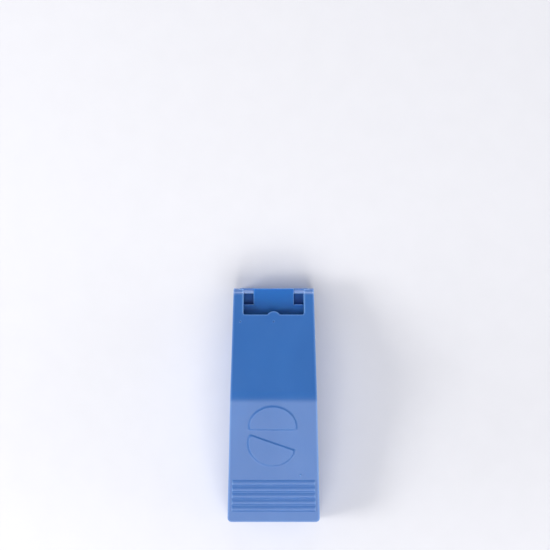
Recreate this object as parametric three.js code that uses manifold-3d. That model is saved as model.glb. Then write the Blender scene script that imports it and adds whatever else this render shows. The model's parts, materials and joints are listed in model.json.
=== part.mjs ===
// Pocket pill splitter: a tapered tray with a storage bin and a raised platform, a V-shaped
// holder with two flexing arms on the platform, and a roof-shaped lid that swings on two short
// pins at the back and brings a double-bevelled blade down between the arms.
// Millimetres. X is the width, Y the length with the finger grip at -Y and the hinge at +Y, Z up.
// The origin is on the table, under the middle of the bounding box.

import * as THREE from 'three';
import { mergeVertices } from 'three/addons/utils/BufferGeometryUtils.js';
import Module from 'manifold-3d';

const wasm = await Module();
wasm.setup();

// ---------- driving dimensions ----------

// Overall
const length = 86;
const frontWidth = 34;
const rearWidth = 29.6;
const cornerRadius = 1.5;

// Clearances
const partGap = 0.3; // between pieces that rest on or lie beside each other
const turnGap = 0.3; // around a turning or threaded-through pin
const bladeGap = 0.55; // beside the blade in the holder's slot

// Tray
const trayHeight = 13;
const trayWall = 1.8;
const trayFloor = 1.8;
const platformWall = 1.6;
const deckThickness = 1.5;
const plateThickness = 1.5;
const plateStep = 0.2; // holder plate above the tray's rim
const rearDeckLength = 11.5;

// Lid
const lidWall = 1.8;
const roofThickness = 1.8;
const lipHeight = 3.8; // front lip above the lid's rim
const ridgeRise = 16.3; // ridge above the lid's rim
const facetEndRise = 0.3; // rear facet above the rim, carried on to the very back
const ridgeAhead = 4.5; // ridge line, ahead of the platform's front
const crossWallThickness = 1.8;
const crossWallAhead = 9.2; // rear face of the cross wall, ahead of the platform's front
const earStrip = 3.65; // roof left beside the window
const windowLength = 9.6;
const tabRadius = 2.4;
const tabReach = 1.2;

// Hinge
const hingeHeight = 6.5;
const earTableGap = 1.1; // under an ear, which ends flush with the back
const hingePinRadius = 1.6;
const hingeHeadRadius = 2.6;
const hingeHeadThickness = 0.85;
const knuckleGap = 0.4; // between the tray's rounded rear corners and the lid's path
const notchWidth = 3.6; // corner notch, in from the inside of the tray's wall
const notchLength = 5.9;
const pocketHeadGap = 0.4; // over a hinge pin's head, under the floor of its corner pocket
const pocketPlate = 0.8; // floor of a corner pocket
const pocketWall = 1.2; // between a corner pocket and the hollow
const earCornerRise = 3.3; // straight back edge of an ear above the hinge axis
const earCornerRun = 2.7; // how far its rounded corner reaches forward on the roof
const skirtRun = 5.3; // curve from the lid's rim down to an ear
const skirtGap = 0.4; // between the skirt and the step in the tray's sides

// V-shaped holder
const armLength = 18;
const armThickness = 1.7;
const armTipThickness = 2.6;
const armTipLength = 3.6;
const armTipRadius = 0.8;
const armTipMargin = 0.75; // beside a tip, to the inside of the lid: room to flex
const armSetback = 2.2; // tips behind the holder plate's front
const tipRoofGap = 4.1; // over the tips
const armNoseRadius = 2.4; // rounded upper front corner
const armClampGap = 0.7; // over the roots, to the tail of the blade clamp
const rootHalfGap = 1.2; // half the gap between the arms' roots
const rootBlockWidth = 2.4;
const rootBlockLength = 3;
const blockRoofGap = 1.1;
const plateTail = 2.2; // plate behind the root blocks

// Blade and its clamp
const bladeThickness = 0.5;
const bladeBevel = 1.6;
const bladeEdgeWidth = 0.06;
const bladeBite = 0.9; // cutting edge below the top of the holder plate
const bladeAhead = 0.5; // blade ahead of the plate's front
const bladeBehindRoot = 3.4; // blade behind the arms' roots
const clampAhead = 1.4;
const clampWidth = 5; // both halves together
const clampClearHeight = 5.6; // clamp's underside above the holder plate
const clampTailThickness = 1.5;
const clampEndAhead = 0.1; // clamp ends ahead of the arms' roots
const ribThickness = 1.2;
const ribDepth = 4;
const ribBehindFront = 9.5; // clamp ribs end this far behind the plate's front
const crossPinRadius = 0.8;
const crossPinDrop = 2.2; // cross pins below the roof's underside
const frontPinBehind = 2; // behind the plate's front
const pinSpacing = 5.5;

// Relief and finger grip on the front facet
const reliefProud = 0.45;
const reliefRadius = 9.3;
const reliefSink = 0.5; // hidden root of every raised feature
const upperHalfFromRidge = 12.3;
const upperHalfX = -0.3;
const lowerHalfFromRidge = 16.8;
const lowerHalfX = -0.5;
const lowerHalfTilt = 19; // degrees
const gripStart = 4; // first grip step from the front
const gripPitch = 2.52;
const gripRun = 2.45;
const gripProud = 0.3;
const gripMargin = 1.4; // beside the steps
const gripClear = 3; // free facet between the grip and the relief

// ---------- derived dimensions ----------

const backY = length / 2;
const frontY = -length / 2;
const beyond = 20; // cutters run this far past what they cut
const widthSlope = (rearWidth - frontWidth) / 2 / length;
const earRadius = hingeHeight - earTableGap;
const hingeY = backY - earRadius;
const earStep = lidWall + partGap; // how far the tray's sides step in beside the ears
const recessY = hingeY - earRadius - skirtRun - skirtGap;
const windowY = backY - windowLength;
const notchY = backY - notchLength;

const rearDeckY = backY - rearDeckLength;
const plateRearY = rearDeckY - partGap;
const blockY = plateRearY - plateTail - rootBlockLength;
const rootY = blockY - partGap;
const narrowest = Math.min(halfWidthAt(rootY), halfWidthAt(rootY - armLength));
const armSpan = narrowest - lidWall - armTipMargin - rootHalfGap;
const holderHalfAngle = Math.asin(armSpan / Math.hypot(armLength, armTipThickness))
  - Math.atan2(armTipThickness, armLength);
const tipY = rootY - armLength * Math.cos(holderHalfAngle);
const plateFrontY = tipY - armSetback;
const ridgeY = plateFrontY - ridgeAhead;

const plateTop = trayHeight + plateStep;
const deckTop = plateTop - plateThickness - partGap;
const rimHeight = trayHeight + partGap;
const lipTop = rimHeight + lipHeight;
const ridgeHeight = rimHeight + ridgeRise;
const bladeEdge = plateTop - bladeBite;
const pinHoleRadius = hingePinRadius + turnGap;
const crossHoleRadius = crossPinRadius + turnGap;

const frontSlope = (ridgeHeight - lipTop) / (ridgeY - frontY);
const rearSlope = (ridgeRise - facetEndRise) / (backY - ridgeY);
const frontTilt = Math.atan(frontSlope);
const rearTilt = Math.atan(rearSlope);
const radians = Math.PI / 180;
const arcSteps = 12;
const tipArcSteps = 5;

/** Half of the splitter's outer width at y. */
function halfWidthAt(y) {
  return frontWidth / 2 + widthSlope * (y - frontY);
}

/** Half of the tray's inner width at y, where its sides are stepped in beside the ears. */
function trayInsideAt(y) {
  return halfWidthAt(y) - earStep - trayWall;
}

/** Inner end of the right-hand hinge pin's head. */
function hingeHeadX() {
  return trayInsideAt(hingeY + hingeHeadRadius) - partGap - hingeHeadThickness;
}

/** Height of the rear facet's outer face at y. */
function rearFacetAt(y) {
  return ridgeHeight - rearSlope * (y - ridgeY);
}

/** Height of the rear facet's inner face at y. */
function rearCeilingAt(y) {
  return rearFacetAt(y) - roofThickness / Math.cos(rearTilt);
}

/** Height of the front facet's inner face at y. */
function frontCeilingAt(y) {
  return ridgeHeight - frontSlope * (ridgeY - y) - roofThickness / Math.cos(frontTilt);
}

// ---------- solids ----------

/** Turns a closed three.js geometry into a manifold solid. */
function solidOf(geometry) {
  const bare = geometry.clone();
  bare.deleteAttribute('normal');
  bare.deleteAttribute('uv');
  const merged = mergeVertices(bare, 1e-4);
  return new wasm.Manifold(new wasm.Mesh({
    numProp: 3,
    vertProperties: new Float32Array(merged.getAttribute('position').array),
    triVerts: new Uint32Array(merged.getIndex().array),
  }));
}

/** Turns a manifold solid back into a three.js geometry. */
function geometryOf(solid) {
  const mesh = solid.getMesh();
  const geometry = new THREE.BufferGeometry();
  geometry.setAttribute('position', new THREE.BufferAttribute(mesh.vertProperties, 3));
  geometry.setIndex(new THREE.BufferAttribute(mesh.triVerts, 1));
  geometry.computeVertexNormals();
  return geometry;
}

/** A closed shape from [a, b] pairs. */
function shapeOf(points) {
  return new THREE.Shape(points.map(([a, b]) => new THREE.Vector2(a, b)));
}

/** Extrudes a shape by depth along its own normal. */
function extruded(shape, depth, curveSegments = arcSteps) {
  return new THREE.ExtrudeGeometry(shape, { depth, bevelEnabled: false, curveSegments });
}

/** Extrudes a side view drawn in (y, z) across from x0 to x1. */
function acrossWidth(shape, x0, x1) {
  const turn = new THREE.Matrix4().set(0, 0, 1, x0, 1, 0, 0, 0, 0, 1, 0, 0, 0, 0, 0, 1);
  return extruded(shape, x1 - x0).applyMatrix4(turn);
}

/** A solid from a side view drawn in (y, z), carried across from x0 to x1. */
function sideBody(shape, x0, x1) {
  return solidOf(acrossWidth(shape, x0, x1));
}

/** A plan drawn in (x, y), raised from z0 to z1. */
function planBody(shape, z0, z1) {
  return solidOf(extruded(shape, z1 - z0).translate(0, 0, z0));
}

/** A front view drawn in (x, z), carried along from y0 to y1. */
function frontBody(shape, y0, y1) {
  return solidOf(extruded(shape, y1 - y0).rotateX(Math.PI / 2).translate(0, y1, 0));
}

/** A box between two corners. */
function boxBody(x0, x1, y0, y1, z0, z1) {
  const geometry = new THREE.BoxGeometry(x1 - x0, y1 - y0, z1 - z0);
  return solidOf(geometry.translate((x0 + x1) / 2, (y0 + y1) / 2, (z0 + z1) / 2));
}

/** A round rod along X from x0 to x1, centred on (y, z). */
function rodBody(radius, x0, x1, y, z, sides = 24) {
  const geometry = new THREE.CylinderGeometry(radius, radius, x1 - x0, sides);
  return solidOf(geometry.rotateZ(Math.PI / 2).translate((x0 + x1) / 2, y, z));
}

/** The same solid on the other side of the splitter's middle plane. */
function mirrored(solid) {
  return solid.mirror([1, 0, 0]);
}

/** The tapered plan, inset from the outline, with rounded front corners. */
function taperedPlan(inset, y0, y1, radius) {
  const shape = new THREE.Shape();
  const front = halfWidthAt(y0) - inset;
  const rear = halfWidthAt(y1) - inset;
  shape.moveTo(-front + radius, y0);
  shape.lineTo(front - radius, y0);
  shape.absarc(front - radius, y0 + radius, radius, -Math.PI / 2, 0, false);
  shape.lineTo(rear, y1);
  shape.lineTo(-rear, y1);
  shape.lineTo(-front, y0 + radius);
  shape.absarc(-front + radius, y0 + radius, radius, Math.PI, Math.PI * 1.5, false);
  return shape;
}

/** The tray's plan, inset from its outline: tapered, and stepped in beside the lid's ears. */
function trayPlan(inset, y0, y1, radius = 0) {
  const stepY = recessY - inset;
  const whole = planBody(taperedPlan(inset, y0, Math.max(stepY, y0 + 1), radius), 0, 1);
  if (y1 <= stepY) {
    return planBody(taperedPlan(inset, y0, y1, radius), 0, 1);
  }
  const narrowFront = Math.max(y0, stepY - 1);
  const narrow = planBody(taperedPlan(inset + earStep, narrowFront, y1, 0), 0, 1);
  return y0 >= stepY ? narrow : whole.add(narrow);
}

/** The tray's plan raised from z0 to z1. */
function trayBody(inset, y0, y1, z0, z1, radius = 0) {
  return trayPlan(inset, y0, y1, radius).scale([1, 1, z1 - z0]).translate([0, 0, z0]);
}

// ---------- tray ----------

/** Bin in front, hollow platform behind, seat for the holder plate, notched rear corners. */
function makeTray() {
  const body = trayBody(0, frontY, backY, 0, trayHeight, cornerRadius);
  const bin = trayBody(trayWall, frontY + trayWall, plateFrontY, trayFloor, trayHeight + 1, cornerRadius / 2);
  const seat = trayBody(trayWall, plateFrontY - 1, rearDeckY, deckTop, trayHeight + 1);
  const hollowY = plateFrontY + platformWall;
  const hollow = trayBody(trayWall, hollowY, backY - trayWall, -1, deckTop - deckThickness);
  const rearHollow = trayBody(
    trayWall, rearDeckY + platformWall, backY - trayWall, 0, trayHeight - deckThickness,
  );
  const notchX = trayInsideAt(hingeY) - notchWidth;
  const notchBox = boxBody(notchX, beyond, notchY, backY + 1, hingeHeight, trayHeight + 1);
  const knuckleRadius = (rearCeilingAt(hingeY) - hingeHeight) * Math.cos(rearTilt) - knuckleGap;
  const knuckle = rodBody(knuckleRadius, 0, beyond, hingeY, hingeHeight, 48);
  const notch = notchBox.subtract(knuckle);
  const pocketUnder = hingeHeight + hingeHeadRadius + pocketHeadGap;
  const pocketBlock = boxBody(notchX - pocketWall, beyond, notchY - pocketWall, backY, pocketUnder, trayHeight + 1);
  const pocketBox = boxBody(notchX, beyond, notchY, backY, pocketUnder + pocketPlate, trayHeight + 1);
  const pocket = pocketBox.intersect(
    trayBody(trayWall, notchY - 1, backY - trayWall, 0, trayHeight + 1),
  );
  const pinHole = rodBody(pinHoleRadius, -beyond, beyond, hingeY, hingeHeight);
  const headRoom = rodBody(
    hingeHeadRadius + turnGap, hingeHeadX() - partGap, hingeHeadX() + hingeHeadThickness + partGap,
    hingeY, hingeHeight,
  );
  return body
    .subtract(bin)
    .subtract(seat)
    .subtract(hollow.subtract(pocketBlock).subtract(mirrored(pocketBlock)))
    .subtract(rearHollow.subtract(pocketBlock).subtract(mirrored(pocketBlock)))
    .subtract(notch)
    .subtract(mirrored(notch))
    .subtract(pocket)
    .subtract(mirrored(pocket))
    .subtract(headRoom)
    .subtract(mirrored(headRoom))
    .subtract(pinHole);
}

// ---------- holder ----------

/** Flat insert with the blade's slot and the two blocks that carry the arms. */
function makeHolderPlate() {
  const inset = Math.max(trayWall, lidWall) + partGap;
  const plate = trayBody(inset, plateFrontY, plateRearY, deckTop + partGap, plateTop);
  const slotHalf = bladeThickness / 2 + bladeGap;
  const slotRearY = rootY + bladeBehindRoot + bladeBite;
  const slot = boxBody(-slotHalf, slotHalf, plateFrontY - 1, slotRearY, 0, plateTop + 1);
  const blockRearY = blockY + rootBlockLength;
  const block = boxBody(
    rootHalfGap, rootHalfGap + rootBlockWidth, blockY, blockRearY,
    plateTop - plateThickness / 2, rearCeilingAt(blockRearY) - blockRoofGap,
  );
  return plate.subtract(slot).add(block).add(mirrored(block));
}

/** Plan of the right arm, drawn along its own length from root to tip, then turned into place. */
function armPlan() {
  const shape = new THREE.Shape();
  const tipStart = armLength - armTipLength;
  shape.moveTo(0, 0);
  shape.lineTo(armLength - armTipRadius, 0);
  shape.absarc(armLength - armTipRadius, armTipRadius, armTipRadius, -Math.PI / 2, 0, false);
  shape.lineTo(armLength, armTipThickness - armTipRadius);
  shape.absarc(
    armLength - armTipRadius, armTipThickness - armTipRadius, armTipRadius, 0, Math.PI / 2, false,
  );
  shape.lineTo(tipStart + armTipRadius, armTipThickness);
  shape.lineTo(tipStart - armTipRadius, armThickness);
  shape.lineTo(0, armThickness);
  return shape;
}

/** The right-hand arm: leans out from its root to its tip, its top sloping with the roof. */
function makeGripArm() {
  const armTop = rearCeilingAt(tipY) - tipRoofGap;
  const rootTop = rearCeilingAt(rootY) - partGap - clampTailThickness - armClampGap;
  const plan = extruded(armPlan(), armTop - plateTop, tipArcSteps);
  plan.rotateZ(holderHalfAngle - Math.PI / 2).translate(rootHalfGap, rootY, plateTop + partGap);
  const topSlope = (armTop - rootTop) / (rootY - tipY);
  const side = new THREE.Shape();
  side.moveTo(tipY - 1, plateTop - 1);
  side.lineTo(rootY, plateTop - 1);
  side.lineTo(rootY, rootTop);
  side.lineTo(tipY + armNoseRadius, armTop - topSlope * armNoseRadius);
  side.quadraticCurveTo(tipY, armTop, tipY, armTop - armNoseRadius);
  side.lineTo(tipY - 1, armTop - armNoseRadius);
  return solidOf(plan).intersect(sideBody(side, -beyond, beyond));
}

// ---------- lid ----------

/** Side view of the lid's outside: lip, two facets, ears rounded about the hinge, skirt, rim. */
function lidOutline() {
  const shape = new THREE.Shape();
  const cornerY = backY - earCornerRun;
  shape.moveTo(frontY, rimHeight);
  shape.lineTo(hingeY - earRadius - skirtRun, rimHeight);
  shape.quadraticCurveTo(
    hingeY - earRadius, rimHeight, hingeY - earRadius, hingeHeight,
  );
  shape.absarc(hingeY, hingeHeight, earRadius, Math.PI, Math.PI * 2, false);
  shape.lineTo(backY, hingeHeight + earCornerRise);
  shape.quadraticCurveTo(backY, rearFacetAt(backY), cornerY, rearFacetAt(cornerY));
  shape.lineTo(ridgeY, ridgeHeight);
  shape.lineTo(frontY, lipTop);
  return shape;
}

/** Side view of the hollow under the roof, open below and behind. */
function lidHollowOutline() {
  const innerFrontY = frontY + lidWall;
  const innerRidge = ridgeY + (frontCeilingAt(ridgeY) - rearCeilingAt(ridgeY)) / (frontSlope + rearSlope);
  return shapeOf([
    [innerFrontY, -1],
    [backY + beyond, -1],
    [backY + beyond, rearCeilingAt(backY + beyond)],
    [innerRidge, rearCeilingAt(innerRidge)],
    [innerFrontY, frontCeilingAt(innerFrontY)],
  ]);
}

/** Carries a shape drawn on the front facet (x across, s up the slope) into place. */
function onFrontFacet(shape, proud) {
  const geometry = extruded(shape, proud + reliefSink);
  geometry.translate(0, 0, -reliefSink).rotateX(frontTilt).translate(0, ridgeY, ridgeHeight);
  return solidOf(geometry);
}

/** Raised half disc: its flat side through (x, s), its arc on the side that turn points away. */
function halfDisc(x, s, turn) {
  const shape = new THREE.Shape();
  shape.absarc(x, s, reliefRadius, turn, turn + Math.PI, false);
  return onFrontFacet(shape, reliefProud);
}

/** Finger-grip steps with their noses to the front, as many as fit between the lip and the relief. */
function gripSteps() {
  const facetLength = (ridgeY - frontY) / Math.cos(frontTilt);
  const free = facetLength - lowerHalfFromRidge - reliefRadius - gripStart - gripClear;
  const count = Math.max(0, Math.floor(free / gripPitch));
  const steps = [];
  for (let i = 0; i < count; i += 1) {
    const s = gripStart + i * gripPitch - facetLength;
    const section = shapeOf([
      [s, -reliefSink],
      [s + gripRun, -reliefSink],
      [s + gripRun, 0.02],
      [s + gripRun * 0.4, gripProud],
      [s + gripRun * 0.14, gripProud * 0.5],
      [s, 0.02],
    ]);
    const halfWidth = halfWidthAt(ridgeY + s * Math.cos(frontTilt)) - gripMargin;
    const step = acrossWidth(section, -halfWidth, halfWidth);
    steps.push(solidOf(step.rotateX(frontTilt).translate(0, ridgeY, ridgeHeight)));
  }
  return steps;
}

/** Rib beside the blade clamp, hanging from the roof behind the cross wall. */
function clampRib(inside) {
  const ribFrontY = plateFrontY - crossWallAhead - crossWallThickness / 2;
  const ribRearY = plateFrontY + ribBehindFront;
  const side = shapeOf([
    [ribFrontY, rearCeilingAt(ridgeY) - ribDepth],
    [ridgeY, rearCeilingAt(ridgeY) - ribDepth],
    [ribRearY, rearCeilingAt(ribRearY) - ribDepth],
    [ribRearY, ridgeHeight],
    [ribFrontY, ridgeHeight],
  ]);
  const x0 = clampWidth / 2 + partGap;
  return sideBody(side, x0, x0 + ribThickness).intersect(inside);
}

/** Cross-pin places, front and rear, as [y, z]. */
function crossPinPlaces() {
  return [0, 1].map((i) => {
    const y = plateFrontY + frontPinBehind + i * pinSpacing;
    return [y, rearCeilingAt(y) - crossPinDrop];
  });
}

/** The roof-shaped cover with its window, tab, cross wall, ribs, ears, relief and grip. */
function makeLid() {
  const block = sideBody(lidOutline(), -beyond, beyond);
  const plan = planBody(taperedPlan(0, frontY, backY + 1, cornerRadius), -1, ridgeHeight + 1);
  const outside = block.intersect(plan);
  const inner = taperedPlan(lidWall, frontY + lidWall, backY + beyond, cornerRadius / 2);
  const hollow = sideBody(lidHollowOutline(), -beyond, beyond)
    .intersect(planBody(inner, -2, ridgeHeight + 1));
  const tab = new THREE.CylinderGeometry(tabRadius, tabRadius, ridgeHeight * 2, 32);
  tab.rotateX(Math.PI / 2).translate(0, windowY + tabReach - tabRadius, ridgeHeight / 2);
  const windowHalf = rearWidth / 2 - earStrip;
  const window = boxBody(
    -windowHalf, windowHalf, windowY, backY + beyond, -1, ridgeHeight,
  ).subtract(solidOf(tab));
  const wallRearY = plateFrontY - crossWallAhead;
  const crossWall = boxBody(
    -beyond, beyond, wallRearY - crossWallThickness, wallRearY, rimHeight + partGap, ridgeHeight,
  ).intersect(outside);
  const rib = clampRib(outside);
  const pinHole = rodBody(pinHoleRadius, -beyond, beyond, hingeY, hingeHeight);
  let lid = outside.subtract(hollow).subtract(window).add(crossWall).add(rib).add(mirrored(rib));
  for (const [y, z] of crossPinPlaces()) {
    const reach = clampWidth / 2 + partGap + ribThickness + 1;
    lid = lid.subtract(rodBody(crossHoleRadius, -reach, reach, y, z, 16));
  }
  for (const step of gripSteps()) {
    lid = lid.add(step);
  }
  return lid
    .add(halfDisc(upperHalfX, -upperHalfFromRidge / Math.cos(frontTilt), 0))
    .add(halfDisc(
      lowerHalfX, -lowerHalfFromRidge / Math.cos(frontTilt), Math.PI - lowerHalfTilt * radians,
    ))
    .subtract(pinHole);
}

// ---------- blade and clamp ----------

/** Wedge-shaped blade: level cutting edge, top edge parallel to the rear facet. */
function makeBlade() {
  const y0 = plateFrontY - bladeAhead;
  const y1 = rootY + bladeBehindRoot;
  const side = shapeOf([
    [y0, bladeEdge],
    [y1, bladeEdge],
    [y1, rearCeilingAt(y1) - partGap],
    [y0, rearCeilingAt(y0) - partGap],
  ]);
  const half = bladeThickness / 2;
  const edgeHalf = bladeEdgeWidth / 2;
  const section = shapeOf([
    [-edgeHalf, bladeEdge],
    [edgeHalf, bladeEdge],
    [half, bladeEdge + bladeBevel],
    [half, ridgeHeight],
    [-half, ridgeHeight],
    [-half, bladeEdge + bladeBevel],
  ]);
  let blade = sideBody(side, -1, 1).intersect(frontBody(section, y0 - 1, y1 + 1));
  for (const [y, z] of crossPinPlaces()) {
    blade = blade.subtract(rodBody(crossHoleRadius, -1, 1, y, z, 16));
  }
  return blade;
}

/** Right-hand half of the clamp that holds the blade under the roof. */
function makeClampHalf() {
  const y0 = plateFrontY - clampAhead;
  const y1 = rootY - clampEndAhead;
  const under = plateTop + clampClearHeight;
  const tailDrop = partGap + clampTailThickness;
  const bendY = ridgeY + (rearCeilingAt(ridgeY) - tailDrop - under) / rearSlope;
  const side = shapeOf([
    [y0, under],
    [bendY, under],
    [y1, rearCeilingAt(y1) - tailDrop],
    [y1, rearCeilingAt(y1) - partGap],
    [y0, rearCeilingAt(y0) - partGap],
  ]);
  let half = sideBody(side, bladeThickness / 2 + partGap, clampWidth / 2);
  for (const [y, z] of crossPinPlaces()) {
    half = half.subtract(rodBody(crossHoleRadius, -1, beyond, y, z, 16));
  }
  return half;
}

/** Straight pin through the ribs, the clamp halves and the blade. */
function makeCrossPin([y, z]) {
  const reach = clampWidth / 2 + partGap + ribThickness;
  return rodBody(crossPinRadius, -reach, reach, y, z, 16);
}

/** Headed hinge pin on the right: head inside the tray, shank out through the ear. */
function makeHingePin() {
  const headX = hingeHeadX();
  const endX = halfWidthAt(hingeY + hingePinRadius) - partGap;
  const profile = [
    new THREE.Vector2(0, headX),
    new THREE.Vector2(hingeHeadRadius, headX),
    new THREE.Vector2(hingeHeadRadius, headX + hingeHeadThickness),
    new THREE.Vector2(hingePinRadius, headX + hingeHeadThickness),
    new THREE.Vector2(hingePinRadius, endX),
    new THREE.Vector2(0, endX),
  ];
  const pin = new THREE.LatheGeometry(profile, 24);
  return solidOf(pin.rotateZ(-Math.PI / 2).translate(0, hingeY, hingeHeight));
}

// ---------- finishes and assembly ----------

const shellBlue = new THREE.MeshStandardMaterial({ color: 0x3a6fbf, roughness: 0.35, metalness: 0 });
const trayBlue = new THREE.MeshStandardMaterial({ color: 0x1f57b3, roughness: 0.4, metalness: 0 });
const holderBlue = new THREE.MeshStandardMaterial({ color: 0x2a62bb, roughness: 0.5, metalness: 0 });
const steel = new THREE.MeshStandardMaterial({ color: 0xc9ced4, roughness: 0.25, metalness: 1 });

const group = new THREE.Group();

/** Adds one named piece to the splitter. */
function addPiece(name, solid, material) {
  const mesh = new THREE.Mesh(geometryOf(solid), material);
  mesh.name = name;
  group.add(mesh);
}

const gripArm = makeGripArm();
const clampHalf = makeClampHalf();
const hingePin = makeHingePin();
const [frontPin, rearPin] = crossPinPlaces();

addPiece('base_tray', makeTray(), trayBlue);
addPiece('holder_plate', makeHolderPlate(), holderBlue);
addPiece('grip_arm_right', gripArm, holderBlue);
addPiece('grip_arm_left', mirrored(gripArm), holderBlue);
addPiece('lid_shell', makeLid(), shellBlue);
addPiece('blade', makeBlade(), steel);
addPiece('blade_clamp_right', clampHalf, shellBlue);
addPiece('blade_clamp_left', mirrored(clampHalf), shellBlue);
addPiece('blade_pin_front', makeCrossPin(frontPin), steel);
addPiece('blade_pin_rear', makeCrossPin(rearPin), steel);
addPiece('hinge_pin_right', hingePin, steel);
addPiece('hinge_pin_left', mirrored(hingePin), steel);

export default group;
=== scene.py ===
"""Pocket pill splitter: the moulded, ground and drawn surfaces built round the fixed frame.

Every mesh is modelled in millimetres in the frame's own axes (X the width, Y the length with the
finger grip at -Y and the hinge at +Y, Z up) and turned to metres when it is finished.
"""

import json
import logging
import math
from dataclasses import dataclass
from enum import Enum
from typing import Callable, Sequence

import bmesh
import bpy
from mathutils import Matrix, Vector


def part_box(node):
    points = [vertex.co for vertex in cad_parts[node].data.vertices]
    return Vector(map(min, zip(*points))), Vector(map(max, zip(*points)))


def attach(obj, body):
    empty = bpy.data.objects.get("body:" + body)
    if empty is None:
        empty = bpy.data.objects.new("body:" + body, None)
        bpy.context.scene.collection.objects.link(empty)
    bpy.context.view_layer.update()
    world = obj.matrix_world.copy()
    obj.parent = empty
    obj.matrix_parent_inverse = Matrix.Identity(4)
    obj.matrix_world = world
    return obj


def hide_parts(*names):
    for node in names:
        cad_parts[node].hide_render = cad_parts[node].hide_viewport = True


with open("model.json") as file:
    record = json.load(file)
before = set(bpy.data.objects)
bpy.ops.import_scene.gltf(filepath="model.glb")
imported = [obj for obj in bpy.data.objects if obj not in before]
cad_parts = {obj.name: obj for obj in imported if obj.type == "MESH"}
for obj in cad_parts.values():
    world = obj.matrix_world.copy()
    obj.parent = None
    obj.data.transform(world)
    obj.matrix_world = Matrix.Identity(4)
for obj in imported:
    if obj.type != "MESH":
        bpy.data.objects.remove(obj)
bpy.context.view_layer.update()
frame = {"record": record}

LOG = logging.getLogger("pill_splitter")
MM = 0.001
BEYOND = 20.0  # shapes that run right across reach this far from the middle plane
OVER = 40.0  # a height above the whole splitter
SLIVER = 2e-3  # points closer than this are merged after a cut
FLAT_ENOUGH = 0.4  # faces that bend by less than this many degrees become one after a cut
UPRIGHT = Matrix.Identity(3)
ACROSS = Matrix.Rotation(math.radians(90), 3, "Y")  # turns an upright axis to +X
Point = tuple[float, float]
EdgeTest = Callable[[Vector, Vector], bool]


class Slot(Enum):
    """The record's material slots."""

    LID = "lid_plastic"
    TRAY = "tray_plastic"
    HOLDER = "holder_plastic"
    BLADE = "blade_steel"
    PIN = "pin_steel"


Finishes = dict[Slot, bpy.types.Material]


class Joining(Enum):
    """How one solid changes another."""

    ADD = "UNION"
    CUT = "DIFFERENCE"
    KEEP = "INTERSECT"


# ---------------------------------------------------------------- outlines


def arc(centre: Point, radius: float, start: float, stop: float, steps: int) -> list[Point]:
    """Points round part of a circle.

    Args:
        centre: The circle's centre.
        radius: Its radius.
        start: First angle in degrees.
        stop: Last angle in degrees.
        steps: Number of straight pieces.

    Returns:
        The points, first and last included.
    """
    turns = [math.radians(start + (stop - start) * i / steps) for i in range(steps + 1)]
    return [(centre[0] + radius * math.cos(t), centre[1] + radius * math.sin(t)) for t in turns]


def bend(first: Point, pull: Point, last: Point, steps: int) -> list[Point]:
    """Points along a quadratic curve.

    Args:
        first: Where the curve starts.
        pull: The point it bends towards.
        last: Where it ends.
        steps: Number of straight pieces.

    Returns:
        The points, first and last included.
    """
    found = []
    for i in range(steps + 1):
        t = i / steps
        a, b, c = (1 - t) ** 2, 2 * t * (1 - t), t * t
        found.append((a * first[0] + b * pull[0] + c * last[0], a * first[1] + b * pull[1] + c * last[1]))
    return found


def upright(a: Vector, b: Vector) -> bool:
    """Whether an edge between two points runs up more than a millimetre."""
    return abs(a.z - b.z) > 1.0


# ---------------------------------------------------------------- solids


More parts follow.
